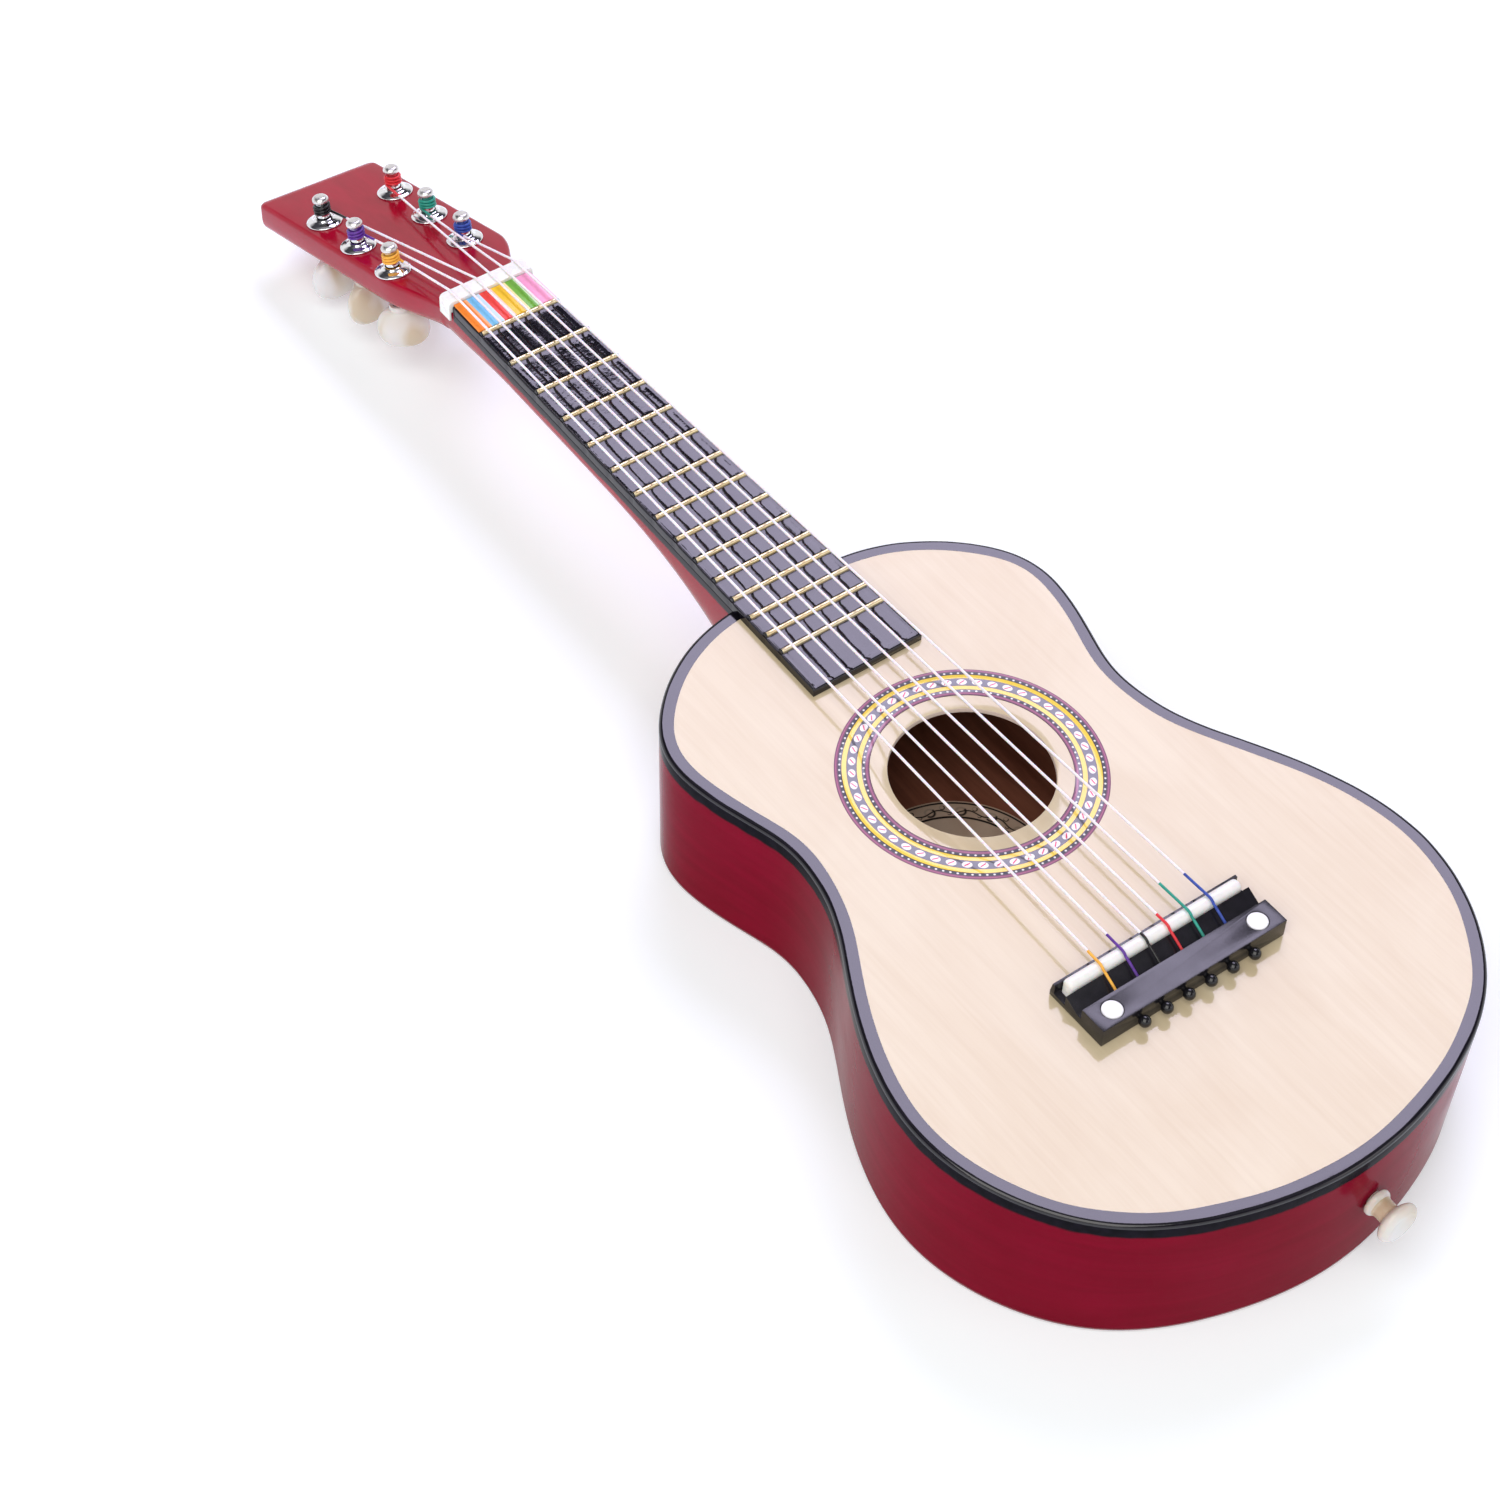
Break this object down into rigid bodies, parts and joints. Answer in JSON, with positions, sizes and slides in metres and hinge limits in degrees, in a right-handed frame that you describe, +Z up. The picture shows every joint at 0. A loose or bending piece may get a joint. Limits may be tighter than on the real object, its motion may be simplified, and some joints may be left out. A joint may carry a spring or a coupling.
{
  "type": "toy guitar",
  "caption": "Acoustic-style wooden toy guitar: hollow body with a sound hole, fretted fingerboard, ball-end strings over a moulded bridge, turning tuning pegs and a strap button.",
  "frame": {"origin": "middle of the overall length and width, on the plane the back of the body rests on", "axes": "+Z up out of the soundboard, +Y from the tail to the headstock, +X towards the thin strings"},
  "size_m": [0.208, 0.6134, 0.0703],
  "materials": {
    "maple_top": "clear gloss lacquer on pale plywood",
    "cherry_lacquer": "tinted cherry-red gloss lacquer on wood",
    "softwood": "bare wood",
    "black_lacquer": "thick black gloss lacquer",
    "black_plastic": "moulded, satin top and glossy faces",
    "white_plastic": "moulded, semi-gloss",
    "ivory_plastic": "moulded, pearly gloss",
    "pearl_plastic": "pearly disc",
    "brass": "drawn fret wire",
    "chrome": "bright plated",
    "plated_steel": "plated wood screw",
    "nylon": "clear nylon with coloured ends",
    "printed_ring": "printed film",
    "paper_label": "printed paper",
    "colour_sticker": "printed film in colour bands"
  },
  "bodies": {
    "guitar": {"back_brace": "softwood", "back_plate": "cherry_lacquer", "bridge": "black_plastic", "bridge_pearl_bass": "pearl_plastic", "bridge_pearl_treble": "pearl_plastic", "bridge_plate": "softwood", "bridge_screw_bass": "plated_steel", "bridge_screw_treble": "plated_steel", "colour_strip": "colour_sticker", "fingerboard": "black_lacquer", "fret_01": "brass", "fret_02": "brass", "fret_03": "brass", "fret_04": "brass", "fret_05": "brass", "fret_06": "brass", "fret_07": "brass", "fret_08": "brass", "fret_09": "brass", "fret_10": "brass", "fret_11": "brass", "fret_12": "brass", "fret_13": "brass", "fret_14": "brass", "fret_15": "brass", "inner_label": "paper_label", "neck": "cherry_lacquer", "neck_block": "softwood", "nut": "white_plastic", "rib": "cherry_lacquer", "rosette": "printed_ring", "saddle": "white_plastic", "soundboard": "maple_top", "strap_button": "ivory_plastic", "string_1": "nylon", "string_2": "nylon", "string_3": "nylon", "string_4": "nylon", "string_5": "nylon", "string_6": "nylon", "tail_block": "softwood", "tuner_ferrule_1": "chrome", "tuner_ferrule_2": "chrome", "tuner_ferrule_3": "chrome", "tuner_ferrule_4": "chrome", "tuner_ferrule_5": "chrome", "tuner_ferrule_6": "chrome", "upper_brace": "softwood"},
    "peg_1": {"tuner_post_1": "chrome", "tuner_knob_1": "ivory_plastic"},
    "peg_2": {"tuner_post_2": "chrome", "tuner_knob_2": "ivory_plastic"},
    "peg_3": {"tuner_post_3": "chrome", "tuner_knob_3": "ivory_plastic"},
    "peg_4": {"tuner_post_4": "chrome", "tuner_knob_4": "ivory_plastic"},
    "peg_5": {"tuner_post_5": "chrome", "tuner_knob_5": "ivory_plastic"},
    "peg_6": {"tuner_post_6": "chrome", "tuner_knob_6": "ivory_plastic"}
  },
  "joints": [
    {"name": "peg_1_turn", "type": "hinge", "parent": "guitar", "child": "peg_1", "pos_m": [-0.0162, 0.22281, 0.04917], "axis": [0, 0.2147, 0.9767], "continuous": true},
    {"name": "peg_2_turn", "type": "hinge", "parent": "guitar", "child": "peg_2", "pos_m": [-0.0162, 0.24831, 0.04356], "axis": [0, 0.2147, 0.9767], "continuous": true},
    {"name": "peg_3_turn", "type": "hinge", "parent": "guitar", "child": "peg_3", "pos_m": [-0.0162, 0.27381, 0.03795], "axis": [0, 0.2147, 0.9767], "continuous": true},
    {"name": "peg_4_turn", "type": "hinge", "parent": "guitar", "child": "peg_4", "pos_m": [0.0162, 0.27381, 0.03795], "axis": [0, 0.2147, 0.9767], "continuous": true},
    {"name": "peg_5_turn", "type": "hinge", "parent": "guitar", "child": "peg_5", "pos_m": [0.0162, 0.24831, 0.04356], "axis": [0, 0.2147, 0.9767], "continuous": true},
    {"name": "peg_6_turn", "type": "hinge", "parent": "guitar", "child": "peg_6", "pos_m": [0.0162, 0.22281, 0.04917], "axis": [0, 0.2147, 0.9767], "continuous": true}
  ]
}
